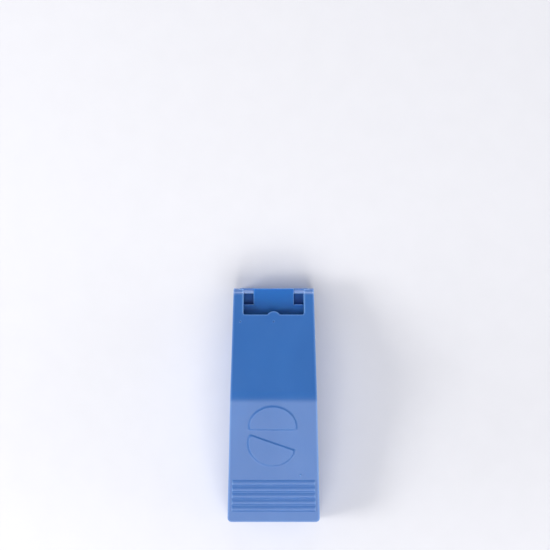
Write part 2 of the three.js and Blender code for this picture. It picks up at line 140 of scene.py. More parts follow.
class Solid:
    """A closed mesh in millimetres that operators shape and other solids cut or join."""

    def __init__(self, mesh: bmesh.types.BMesh) -> None:
        """Takes over a bmesh."""
        self.mesh = mesh

    @classmethod
    def extruded(cls, outline: Sequence[Point], place: Callable[[float, float, float], tuple],
                 low: float, high: float) -> "Solid":
        """Extrudes a flat outline.

        Args:
            outline: The outline's points, in order.
            place: Puts (a, b, depth) into the splitter's axes.
            low: Depth where the solid starts.
            high: Depth where it ends.

        Returns:
            The closed solid.
        """
        mesh = bmesh.new()
        face = mesh.faces.new([mesh.verts.new(place(a, b, low)) for a, b in outline])
        grown = bmesh.ops.extrude_face_region(mesh, geom=[face])
        shift = Vector(place(0.0, 0.0, high)) - Vector(place(0.0, 0.0, low))
        moved = [item for item in grown["geom"] if isinstance(item, bmesh.types.BMVert)]
        bmesh.ops.translate(mesh, verts=moved, vec=shift)
        bmesh.ops.recalc_face_normals(mesh, faces=mesh.faces)
        return cls(mesh)

    @classmethod
    def side(cls, outline: Sequence[Point], low: float, high: float) -> "Solid":
        """A side view drawn in (y, z), carried across from x low to x high."""
        return cls.extruded(outline, lambda y, z, x: (x, y, z), low, high)

    @classmethod
    def plan(cls, outline: Sequence[Point], low: float, high: float) -> "Solid":
        """A plan drawn in (x, y), raised from z low to z high."""
        return cls.extruded(outline, lambda x, y, z: (x, y, z), low, high)

    @classmethod
    def front(cls, outline: Sequence[Point], low: float, high: float) -> "Solid":
        """A front view drawn in (x, z), carried along from y low to y high."""
        return cls.extruded(outline, lambda x, z, y: (x, y, z), low, high)

    @classmethod
    def box(cls, low: Sequence[float], high: Sequence[float]) -> "Solid":
        """Makes a box between two corners.

        Args:
            low: Its lowest corner.
            high: Its highest corner.

        Returns:
            The box.
        """
        mesh = bmesh.new()
        bmesh.ops.create_cube(mesh, size=1.0)
        span = Vector(high) - Vector(low)
        bmesh.ops.scale(mesh, verts=mesh.verts, vec=span)
        bmesh.ops.translate(mesh, verts=mesh.verts, vec=(Vector(low) + Vector(high)) / 2)
        return cls(mesh)

    @classmethod
    def lathe(cls, profile: Sequence[Point], centre: Sequence[float], turn: Matrix = UPRIGHT,
              steps: int = 48) -> "Solid":
        """Spins a profile of (radius, height) points, starting and ending on the axis.

        Args:
            profile: The profile's points.
            centre: Where the axis's zero goes.
            turn: Turns the upright axis to its real direction.
            steps: Number of pieces round the axis.

        Returns:
            The closed solid of revolution.
        """
        mesh = bmesh.new()
        verts = [mesh.verts.new((radius, 0.0, height)) for radius, height in profile]
        edges = [mesh.edges.new(pair) for pair in zip(verts, verts[1:])]
        bmesh.ops.spin(mesh, geom=[*verts, *edges], cent=(0, 0, 0), axis=(0, 0, 1), angle=math.tau,
                       steps=steps, use_merge=True)
        bmesh.ops.remove_doubles(mesh, verts=mesh.verts, dist=1e-4)
        bmesh.ops.recalc_face_normals(mesh, faces=mesh.faces)
        placed = Matrix.Translation(Vector(centre)) @ turn.to_4x4()
        bmesh.ops.transform(mesh, matrix=placed, verts=mesh.verts)
        return cls(mesh)

    @classmethod
    def rod(cls, radius: float, x0: float, x1: float, y: float, z: float, chamfer: float = 0.0,
            steps: int = 48) -> "Solid":
        """A round rod along X, its ends chamfered.

        Args:
            radius: The rod's radius.
            x0: Lower end.
            x1: Upper end.
            y: Place of its axis along the length.
            z: Height of its axis.
            chamfer: Size of the chamfer at both ends.
            steps: Number of sides.

        Returns:
            The rod.
        """
        length = x1 - x0
        profile = [(0.0, 0.0), (radius - chamfer, 0.0), (radius, chamfer), (radius, length - chamfer),
                   (radius - chamfer, length), (0.0, length)]
        if chamfer == 0.0:
            profile = [(0.0, 0.0), (radius, 0.0), (radius, length), (0.0, length)]
        return cls.lathe(profile, (x0, y, z), ACROSS, steps)

    def copy(self) -> "Solid":
        """Another solid of the same shape."""
        return Solid(self.mesh.copy())

    def moved(self, matrix: Matrix) -> "Solid":
        """Moves the solid by a matrix and gives it back."""
        bmesh.ops.transform(self.mesh, matrix=matrix, verts=self.mesh.verts)
        return self

    def mirrored(self) -> "Solid":
        """Makes the same solid on the other side of the splitter's middle plane.

        Returns:
            The mirrored copy.
        """
        other = self.copy()
        bmesh.ops.scale(other.mesh, verts=other.mesh.verts, vec=(-1, 1, 1))
        bmesh.ops.reverse_faces(other.mesh, faces=other.mesh.faces)
        return other

    def rounded(self, width: float, segments: int = 3, where: EdgeTest | None = None,
                sharper: float = 25.0) -> "Solid":
        """Bevels sharp edges.

        Args:
            width: How far the bevel reaches from the edge.
            segments: Number of rows across it.
            where: Takes an edge's two ends and says whether it is rounded; every edge by default.
            sharper: Only edges that bend by more than this many degrees are rounded.

        Returns:
            The same solid.
        """
        chosen = [
            edge for edge in self.mesh.edges
            if len(edge.link_faces) == 2 and edge.calc_face_angle(0.0) > math.radians(sharper)
            and (where is None or where(edge.verts[0].co, edge.verts[1].co))
        ]
        if chosen:
            bmesh.ops.bevel(self.mesh, geom=chosen, offset=width, offset_type="OFFSET", affect="EDGES",
                            segments=segments, profile=0.5, clamp_overlap=True, material=-1)
        return self

    def combined(self, other: "Solid", joining: Joining) -> "Solid":
        """Cuts, joins or intersects with another solid, which is used up.

        Args:
            other: The other solid.
            joining: What happens.

        Returns:
            The same solid, changed.
        """
        body, tool = self.as_object("body"), other.as_object("tool")
        step = body.modifiers.new("join", "BOOLEAN")
        step.operation = joining.value
        step.solver = "EXACT"
        step.object = tool
        depsgraph = bpy.context.evaluated_depsgraph_get()
        result = bpy.data.meshes.new_from_object(body.evaluated_get(depsgraph))
        self.mesh.free()
        other.mesh.free()
        self.mesh = bmesh.new()
        self.mesh.from_mesh(result)
        for piece in (body, tool):
            data = piece.data
            bpy.data.objects.remove(piece)
            bpy.data.meshes.remove(data)
        bpy.data.meshes.remove(result)
        bmesh.ops.remove_doubles(self.mesh, verts=self.mesh.verts, dist=SLIVER)
        bmesh.ops.dissolve_limit(self.mesh, angle_limit=math.radians(FLAT_ENOUGH), verts=self.mesh.verts,
                                 edges=self.mesh.edges)
        return self

    def cut(self, *others: "Solid") -> "Solid":
        """Takes other solids away.

        Args:
            *others: The solids, which are used up.

        Returns:
            The same solid.
        """
        for other in others:
            self.combined(other, Joining.CUT)
        return self

    def add(self, *others: "Solid") -> "Solid":
        """Joins other solids on.

        Args:
            *others: The solids, which are used up.

        Returns:
            The same solid.
        """
        for other in others:
            self.combined(other, Joining.ADD)
        return self

    def keep(self, other: "Solid") -> "Solid":
        """Keeps what lies inside another solid, which is used up."""
        return self.combined(other, Joining.KEEP)

    def as_object(self, name: str) -> bpy.types.Object:
        """Puts a copy of the mesh, as it is, into the scene.

        Args:
            name: The object's name.

        Returns:
            The new object.
        """
        data = bpy.data.meshes.new(name)
        self.mesh.to_mesh(data)
        piece = bpy.data.objects.new(name, data)
        bpy.context.scene.collection.objects.link(piece)
        return piece

    def finished(self, name: str, smooth: float = 32.0) -> bpy.types.Object:
        """Turns the solid into its final object in metres.

        Args:
            name: The object's name.
            smooth: Edges that bend by more than this many degrees stay sharp.

        Returns:
            The object, at the origin, with its place in its mesh.
        """
        bmesh.ops.scale(self.mesh, verts=self.mesh.verts, vec=(MM, MM, MM))
        piece = self.as_object(name)
        for polygon in piece.data.polygons:
            polygon.use_smooth = True
        piece.data.set_sharp_from_angle(angle=math.radians(smooth))
        weigh = piece.modifiers.new("even_shading", "WEIGHTED_NORMAL")
        weigh.keep_sharp = True
        open_edges = sum(1 for edge in self.mesh.edges if len(edge.link_faces) != 2)
        LOG.info("%s: %d faces, %d open edges, %.0f mm3", name, len(self.mesh.faces), open_edges,
                 self.mesh.calc_volume() / MM ** 3)
        self.mesh.free()
        return piece


# ---------------------------------------------------------------- finishes


def linear(colour: str) -> tuple[float, float, float, float]:
    """Turns an sRGB hex colour into linear values.

    Args:
        colour: The colour as #RRGGBB.

    Returns:
        Linear red, green and blue, and a full alpha.
    """
    parts = [int(colour[i:i + 2], 16) / 255 for i in (1, 3, 5)]
    bent = [part / 12.92 if part <= 0.04045 else ((part + 0.055) / 1.055) ** 2.4 for part in parts]
    return (*bent, 1.0)


def node(tree: bpy.types.NodeTree, kind: str, values: dict | None = None, links: dict | None = None,
         settings: dict | None = None, stops: Sequence[tuple[float, str]] = ()) -> bpy.types.Node:
    """Adds one node with its input values, links and settings.

    Args:
        tree: The material's node tree.
        kind: The node's type name, without its ShaderNode prefix.
        values: Input values by socket name or number.
        links: Output sockets to link into inputs, by socket name or number.
        settings: Properties to set on the node.
        stops: A colour ramp's positions and sRGB colours.

    Returns:
        The new node.
    """
    made = tree.nodes.new("ShaderNode" + kind)
    for key, value in (settings or {}).items():
        setattr(made, key, value)
    for key, value in (values or {}).items():
        made.inputs[key].default_value = value
    for key, socket in (links or {}).items():
        tree.links.new(socket, made.inputs[key])
    for i, (position, colour) in enumerate(stops):
        made.color_ramp.elements[i].position = position
        made.color_ramp.elements[i].color = linear(colour)
    return made


def blank(name: str) -> tuple[bpy.types.Material, bpy.types.NodeTree, bpy.types.NodeSocket]:
    """Starts a material.

    Args:
        name: The material's name.

    Returns:
        The material, its empty node tree and the object coordinates.
    """
    material = bpy.data.materials.new(name)
    material.use_nodes = True
    tree = material.node_tree
    tree.nodes.clear()
    return material, tree, node(tree, "TexCoord").outputs["Object"]


@dataclass(frozen=True)
class MouldedPlastic:
    """Injection-moulded polypropylene: coloured right through, a satin skin from the mould.

    The mould's spark-eroded surface leaves grain about 0.15 mm across; flow of the melt leaves
    broad, faint streaks of lighter and darker colour along the part, and handling leaves hairlines.
    Convex edges carry a painted highlight: their colour is painted paler, standing for light caught
    on the rounded edges.
    """

    name: str
    colour: str
    deep: str
    roughness: float = 0.34
    glow: float = 0.2
    glow_mm: float = 0.8  # how far light spreads inside the slightly translucent plastic
    grain_mm: float = 0.35  # real grain is near 0.15 mm; drawn coarser so that it shows
    grain_depth_mm: float = 0.006
    streak_mm: float = 22.0
    streak_run: float = 0.35  # the streaks run along the part
    handling_mm: float = 6.0
    scratch_mm: float = 2.2  # real hairlines are far finer; drawn coarser so that they show
    scratch_depth_mm: float = 0.004
    # painted highlight: the paler colour that convex edges are painted with, standing for light caught on the
    # rounded edges; the next two fields set how far it reaches and how strong it is
    edge: str = "#86AEE2"
    edge_highlight_mm: float = 0.8  # how far from an edge the painted highlight reaches
    edge_highlight_share: float = 0.55

    def build(self) -> bpy.types.Material:
        """Makes the material.

        Returns:
            The finished material.
        """
        material, tree, place = blank(self.name)
        stretched = node(tree, "Mapping", {"Scale": (1.0, self.streak_run, 1.0)}, {"Vector": place})
        streaks = node(
            tree, "TexNoise",
            {"Scale": 1 / (self.streak_mm * MM), "Detail": 3.0, "Roughness": 0.45, "Distortion": 0.6},
            {"Vector": stretched.outputs["Vector"]})
        blend = node(tree, "ValToRGB", links={"Fac": streaks.outputs["Fac"]},
                     stops=((0.36, self.deep), (0.64, self.colour)))
        grain = node(tree, "TexNoise", {"Scale": 1 / (self.grain_mm * MM), "Detail": 2.0, "Roughness": 0.55},
                     {"Vector": place})
        handling = node(tree, "TexNoise",
                        {"Scale": 1 / (self.handling_mm * MM), "Detail": 5.0, "Roughness": 0.62},
                        {"Vector": place})
        gloss = node(
            tree, "MapRange",
            {"From Min": 0.3, "From Max": 0.7,
             "To Min": self.roughness - 0.03, "To Max": self.roughness + 0.04},
            {"Value": handling.outputs["Fac"]})
        aslant = node(tree, "Mapping", {"Rotation": (0.0, 0.0, 0.5), "Scale": (1.0, 9.0, 1.0)},
                      {"Vector": place})
        scratches = node(tree, "TexNoise",
                         {"Scale": 1 / (self.scratch_mm * MM), "Detail": 6.0, "Roughness": 0.75},
                         {"Vector": aslant.outputs["Vector"]})
        # Painted highlight: ambient occlusion traced inside finds the convex edges, and there the colour is
        # mixed towards the pale edge colour, standing for light caught on the rounded edges.
        inward = node(tree, "AmbientOcclusion", {"Distance": self.edge_highlight_mm * MM},
                      settings={"inside": True, "samples": 6})
        painted_edge_highlight = node(tree, "MapRange",
                     {"From Min": 0.5, "From Max": 0.95, "To Min": self.edge_highlight_share, "To Max": 0.0},
                     {"Value": inward.outputs["AO"]})
        # the flow streaks' colour with the painted edge highlight mixed in
        skin = node(tree, "Mix", {7: linear(self.edge)},
                    {0: painted_edge_highlight.outputs["Result"], 6: blend.outputs["Color"]}, {"data_type": "RGBA"})
        fine = node(tree, "Bump", {"Strength": 0.6, "Distance": self.grain_depth_mm * MM},
                    {"Height": grain.outputs["Fac"]})
        relief = node(tree, "Bump", {"Strength": 0.35, "Distance": self.scratch_depth_mm * MM},
                      {"Height": scratches.outputs["Fac"], "Normal": fine.outputs["Normal"]})
        shader = node(
            tree, "BsdfPrincipled",
            {"IOR": 1.49, "Metallic": 0.0, "Subsurface Weight": self.glow,
             "Subsurface Scale": self.glow_mm * MM, "Subsurface Radius": (0.25, 0.6, 1.0)},
            {"Base Color": skin.outputs[2], "Roughness": gloss.outputs["Result"],
             "Normal": relief.outputs["Normal"]})
        node(tree, "OutputMaterial", links={"Surface": shader.outputs["BSDF"]})
        return material


@dataclass(frozen=True)
class GroundSteel:
    """Stainless steel strip or wire: bright grey, with fine lines left by rolling or grinding.

    Rolling lines run along the strip about 0.05 mm apart; a ground bevel's lines run from the edge
    upwards. Both are drawn coarser than they are so that they show.
    """

    name: str
    colour: str
    dull: str
    roughness: float = 0.38
    line_mm: float = 0.22
    stretch: tuple[float, float, float] = (1.0, 0.03, 1.0)
    bevel_top_mm: float = 0.0  # below this height the lines run upright
    bevel_blend_mm: float = 0.02
    line_depth_mm: float = 0.001
    cloud_mm: float = 5.0

    def build(self) -> bpy.types.Material:
        """Makes the material.

        Returns:
            The finished material.
        """
        material, tree, place = blank(self.name)
        along = node(tree, "Mapping", {"Scale": self.stretch}, {"Vector": place})
        upward = node(tree, "Mapping", {"Scale": (1.0, 1.0, 0.03)}, {"Vector": place})
        height = node(tree, "SeparateXYZ", links={"Vector": place})
        bevel = node(tree, "MapRange",
                     {"From Min": (self.bevel_top_mm - self.bevel_blend_mm) * MM,
                      "From Max": (self.bevel_top_mm + self.bevel_blend_mm) * MM,
                      "To Min": 1.0, "To Max": 0.0}, {"Value": height.outputs["Z"]})
        direction = node(tree, "Mix", None,
                         {"Factor": bevel.outputs["Result"], 4: along.outputs["Vector"],
                          5: upward.outputs["Vector"]}, {"data_type": "VECTOR"})
        lines = node(tree, "TexNoise", {"Scale": 1 / (self.line_mm * MM), "Detail": 3.0, "Roughness": 0.55},
                     {"Vector": direction.outputs[1]})
        cloud = node(tree, "TexNoise", {"Scale": 1 / (self.cloud_mm * MM), "Detail": 3.0}, {"Vector": place})
        tone = node(tree, "ValToRGB", links={"Fac": cloud.outputs["Fac"]},
                    stops=((0.35, self.dull), (0.65, self.colour)))
        gloss = node(
            tree, "MapRange",
            {"From Min": 0.3, "From Max": 0.7,
             "To Min": self.roughness - 0.04, "To Max": self.roughness + 0.04},
            {"Value": lines.outputs["Fac"]})
        relief = node(tree, "Bump", {"Strength": 0.1, "Distance": self.line_depth_mm * MM},
                      {"Height": lines.outputs["Fac"]})
        shader = node(tree, "BsdfPrincipled", {"Metallic": 1.0},
                      {"Base Color": tone.outputs["Color"], "Roughness": gloss.outputs["Result"],
                       "Normal": relief.outputs["Normal"]})
        node(tree, "OutputMaterial", links={"Surface": shader.outputs["BSDF"]})
        return material


@dataclass(frozen=True)
class PaleCard:
    """Smooth uncoated board for the floor: nearly white, quite matt, with a faint fibre mottle."""

    name: str = "pale_card"
    colour: str = "#DADADF"
    mottle: str = "#D6D6DB"
    mottle_mm: float = 9.0

    def build(self) -> bpy.types.Material:
        """Makes the material.

        Returns:
            The finished material.
        """
        material, tree, place = blank(self.name)
        cloud = node(tree, "TexNoise", {"Scale": 1 / (self.mottle_mm * MM), "Detail": 4.0}, {"Vector": place})
        tone = node(tree, "ValToRGB", links={"Fac": cloud.outputs["Fac"]},
                    stops=((0.0, self.mottle), (1.0, self.colour)))
        shader = node(tree, "BsdfPrincipled", {"Roughness": 0.75}, {"Base Color": tone.outputs["Color"]})
        node(tree, "OutputMaterial", links={"Surface": shader.outputs["BSDF"]})
        return material


# ---------------------------------------------------------------- the frame's own sizes


def low(name: str) -> Vector:
    """A CAD node's lowest corner, in millimetres."""
    return Vector(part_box(name)[0]) / MM


def high(name: str) -> Vector:
    """A CAD node's highest corner, in millimetres."""
    return Vector(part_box(name)[1]) / MM


def joint_place(name: str) -> Vector:
    """A joint's place, in millimetres."""
    found = next(joint for joint in frame["record"]["behaviour"]["joints"] if joint["name"] == name)
    return Vector(found["pos_m"]) / MM


def dress(piece: bpy.types.Object, finishes: Finishes, slot: Slot, cad_node: str, body: str) -> None:
    """Gives a piece its finish and ties it to the frame.

    Args:
        piece: The finished mesh object.
        finishes: The finished materials.
        slot: The slot that the piece takes its finish from.
        cad_node: The CAD node that it stands for.
        body: The body that it moves with.
    """
    piece.data.materials.append(finishes[slot])
    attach(piece, body)
    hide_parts(cad_node)
    LOG.info("%s stands for %s on %s", piece.name, cad_node, body)


@dataclass
class Envelope:
    """What the pieces share: the tapered outline, the hinge, the roof and the holder's places.

    Lengths are in millimetres. Places come from the frame; walls and slopes are the maker's own.
    """

    front_y: float = low("lid_shell").y
    back_y: float = high("lid_shell").y
    front_half: float = high("lid_shell").x
    rear_half: float = 14.8
    corner: float = 1.5
    gap: float = 0.3
    wall: float = 1.8
    tray_height: float = high("base_tray").z
    ridge_z: float = high("lid_shell").z
    lip_height: float = 3.8
    facet_end_rise: float = 0.3
    ridge_ahead: float = 4.5
    ridge_round: tuple[float, float] = (2.6, 2.2)
    hinge_y: float = joint_place("lid_hinge").y
    hinge_z: float = joint_place("lid_hinge").z
    ear_table_gap: float = 1.1
    skirt_run: float = 5.3
    skirt_gap: float = 0.4
    plate_front_y: float = low("holder_plate").y
    plate_rear_y: float = high("holder_plate").y
    plate_top: float = 13.2
    plate_thickness: float = 1.5
    root_y: float = high("grip_arm_right").y

    def __post_init__(self) -> None:
        """Works out the lines that follow from the sizes."""
        self.rim_z = self.tray_height + self.gap
        self.lip_z = self.rim_z + self.lip_height
        self.ridge_y = self.plate_front_y - self.ridge_ahead
        self.facet_end_z = self.rim_z + self.facet_end_rise
        self.front_slope = (self.ridge_z - self.lip_z) / (self.ridge_y - self.front_y)
        self.rear_slope = (self.ridge_z - self.facet_end_z) / (self.back_y - self.ridge_y)
        self.ear_radius = self.hinge_z - self.ear_table_gap
        self.ear_step = self.wall + self.gap
        self.recess_y = self.hinge_y - self.ear_radius - self.skirt_run - self.skirt_gap

    def half_width(self, y: float) -> float:
        """Half the splitter's outer width at y."""
        share = (y - self.front_y) / (self.back_y - self.front_y)
        return self.front_half + (self.rear_half - self.front_half) * share

    def rear_facet(self, y: float) -> float:
        """Height of the rear facet's outer face at y."""
        return self.ridge_z - self.rear_slope * (y - self.ridge_y)

    def rear_ceiling(self, y: float) -> float:
        """Height of the rear facet's inner face at y."""
        return self.rear_facet(y) - self.wall * math.hypot(1.0, self.rear_slope)

    def front_facet(self, y: float) -> float:
        """Height of the front facet's outer face at y."""
        return self.ridge_z - self.front_slope * (self.ridge_y - y)

    def front_ceiling(self, y: float) -> float:
        """Height of the front facet's inner face at y."""
        return self.front_facet(y) - self.wall * math.hypot(1.0, self.front_slope)

    def ridge(self) -> list[Point]:
        """Rounds the ridge in side view.

        Returns:
            Its points, from the rear facet to the front one.
        """
        ahead, behind = self.ridge_y - self.ridge_round[0], self.ridge_y + self.ridge_round[1]
        return bend((behind, self.rear_facet(behind)), (self.ridge_y, self.ridge_z),
                    (ahead, self.front_facet(ahead)), 10)

    def tapered(self, inset: float, y0: float, y1: float, corner: float = 0.0) -> list[Point]:
        """The tapered plan, inset from the outline.

        Args:
            inset: How far inside the outline the plan lies.
            y0: Its front.
            y1: Its rear.
            corner: Radius of its front corners.

        Returns:
            The plan's points.
        """
        a, b = self.half_width(y0) - inset, self.half_width(y1) - inset
        if corner == 0.0:
            return [(-a, y0), (a, y0), (b, y1), (-b, y1)]
        right = arc((a - corner, y0 + corner), corner, -90, 0, 8)
        left = arc((-a + corner, y0 + corner), corner, 180, 270, 8)
        return [*right, (b, y1), (-b, y1), *left]

    def stepped(self, inset: float, y0: float, y1: float, corner: float = 0.0) -> list[Point]:
        """The tray's plan: tapered, and stepped in beside the lid's ears.

        Args:
            inset: How far inside the tray's outline the plan lies.
            y0: Its front.
            y1: Its rear.
            corner: Radius of its front corners.

        Returns:
            The plan's points.
        """
        step_y = self.recess_y - inset
        if y1 <= step_y:
            return self.tapered(inset, y0, y1, corner)
        if y0 >= step_y:
            return self.tapered(inset + self.ear_step, y0, y1)
        wide = self.half_width(step_y) - inset
        narrow, end = wide - self.ear_step, self.half_width(y1) - inset - self.ear_step
        outline = self.tapered(inset, y0, step_y, corner)
        split = outline.index((-wide, step_y))
        rear = [(wide, step_y), (narrow, step_y), (end, y1), (-end, y1), (-narrow, step_y), (-wide, step_y)]
        return [*outline[:split - 1], *rear, *outline[split + 1:]]


# ---------------------------------------------------------------- tray


@dataclass
class Tray:
    """The bottom moulding: storage bin, hollow platform, seat for the holder, notched rear corners."""

    env: Envelope
    floor: float = 1.8
    platform_wall: float = 1.6
    deck: float = 1.5
    seat_lead: float = 3.0  # how far ahead of the plate the seat's cutter starts, over the bin
    rear_deck: float = 11.5
    notch_width: float = 3.6
    notch_length: float = 5.9
    knuckle_gap: float = 0.4
    head_room: float = 3.0  # from the hinge axis to the underside of a pocket's floor
    pocket_plate: float = 0.8
    pocket_wall: float = 1.2
    hole_radius: float = 1.9
    floor_fillet: float = 1.2
    ejector_radius: float = 1.6
    ejector_depth: float = 0.08
    ejector_inset: tuple[float, float, float] = (10.0, 8.0, 7.0)  # from the middle, front and rear
    bin_corner: float = 1.0
    hollow_corner: float = 0.6
    foot_edge: float = 0.5
    upright_edge: float = 0.22
    rim_edge: float = 0.2

    def bin(self) -> Solid:
        """Models the storage bin's space, with filleted corners and floor.

        Returns:
            The cutter.
        """
        env = self.env
        plan = env.tapered(env.wall, env.front_y + env.wall, env.plate_front_y)
        space = Solid.plan(plan, self.floor, env.tray_height + 2.0)
        space.rounded(self.bin_corner, 5, upright)
        return space.rounded(self.floor_fillet, 5, lambda a, b: max(a.z, b.z) < self.floor + 0.1, 40.0)

    def hollows(self) -> list[Solid]:
        """Models the moulding hollows under the platform's two decks.

        Returns:
            Their cutters.
        """
        env = self.env
        deck_top = env.plate_top - env.plate_thickness - env.gap
        start, stop = env.plate_front_y + self.platform_wall, env.back_y - env.wall
        main = Solid.plan(env.stepped(env.wall, start, stop), -2.0, deck_top - self.deck)
        main.rounded(self.hollow_corner, 4, lambda a, b: upright(a, b) or min(a.z, b.z) > 1.0, 40.0)
        rear_start = env.back_y - self.rear_deck + self.platform_wall
        rear = Solid.plan(env.stepped(env.wall, rear_start, stop), 1.0, env.tray_height - self.deck)
        rear.rounded(self.hollow_corner, 4, lambda a, b: upright(a, b) or min(a.z, b.z) > 2.0, 40.0)
        x, y = self.notch_x() - self.pocket_wall, env.back_y - self.notch_length - self.pocket_wall
        under = self.pocket_floor() - self.pocket_plate
        block = Solid.box((x, y, under), (BEYOND, env.back_y, env.tray_height + 3.0))
        for space in (main, rear):
            space.cut(block.mirrored(), block.copy())
        block.mesh.free()
        return [main, rear]

    def notch_x(self) -> float:
        """Inner side of the corner pockets, from the middle plane."""
        return self.env.half_width(self.env.hinge_y) - self.env.ear_step - self.env.wall - self.notch_width

    def pocket_floor(self) -> float:
        """Height of the pockets' floor, over the hinge pins' heads."""
        return self.env.hinge_z + self.head_room + self.pocket_plate

    def seat(self) -> Solid:
        """Models the space that the holder plate lies in.

        Returns:
            The cutter.
        """
        env = self.env
        deck_top = env.plate_top - env.plate_thickness - env.gap
        plan = env.stepped(env.wall, env.plate_front_y - self.seat_lead, env.back_y - self.rear_deck)
        return Solid.plan(plan, deck_top, env.tray_height + 2.0)

    def corner_cuts(self) -> list[Solid]:
        """Models what the rear corners lose: a pocket in the deck and a knuckle round the hinge.

        Returns:
            The cutters.
        """
        env = self.env
        notch_x, notch_y = self.notch_x(), env.back_y - self.notch_length
        top = env.tray_height + 2.0
        slope = math.cos(math.atan(env.rear_slope))
        radius = (env.rear_ceiling(env.hinge_y) - env.hinge_z) * slope - self.knuckle_gap
        corner = Solid.box((notch_x, notch_y, env.hinge_z), (BEYOND, env.back_y + 2.0, top))
        corner.cut(Solid.rod(radius, 0.0, BEYOND + 1.0, env.hinge_y, env.hinge_z, steps=96))
        pocket = Solid.plan(env.stepped(env.wall, notch_y, env.back_y - env.wall), self.pocket_floor(), top)
        right = pocket.keep(Solid.box((notch_x, notch_y - 1.0, 0.0), (BEYOND, env.back_y, top + 1.0)))
        return [corner.mirrored(), corner, right.mirrored(), right]

    def ejector_marks(self) -> list[Solid]:
        """Models the shallow marks that the mould's ejector pins leave in the bin's floor.

        Returns:
            Their cutters.
        """
        env, radius, depth = self.env, self.ejector_radius, self.ejector_depth
        across, ahead, behind = self.ejector_inset
        along = (env.front_y + ahead, env.plate_front_y - behind)
        profile = [(0.0, -depth), (radius, -depth), (radius, 1.0), (0.0, 1.0)]
        return [Solid.lathe(profile, (x, y, self.floor), steps=32) for x in (-across, across) for y in along]

    def build(self, finishes: Finishes) -> None:
        """Models and dresses the tray.

        Args:
            finishes: The finished materials.
        """
        env = self.env
        body = Solid.plan(env.stepped(0.0, env.front_y, env.back_y, env.corner), 0.0, env.tray_height)
        body.rounded(self.foot_edge, 4, lambda a, b: max(a.z, b.z) < 0.1, 60.0)
        body.rounded(self.upright_edge, 3, upright, 60.0)
        body.cut(self.bin(), *self.hollows(), self.seat(), *self.corner_cuts(), *self.ejector_marks())
        body.cut(Solid.rod(self.hole_radius, -BEYOND, BEYOND, env.hinge_y, env.hinge_z, steps=64))
        rim = env.tray_height
        body.rounded(self.rim_edge, 3, lambda a, b: min(a.z, b.z) > rim - 0.01, 60.0)
        dress(body.finished("tray"), finishes, Slot.TRAY, "base_tray", "base")


# ---------------------------------------------------------------- holder


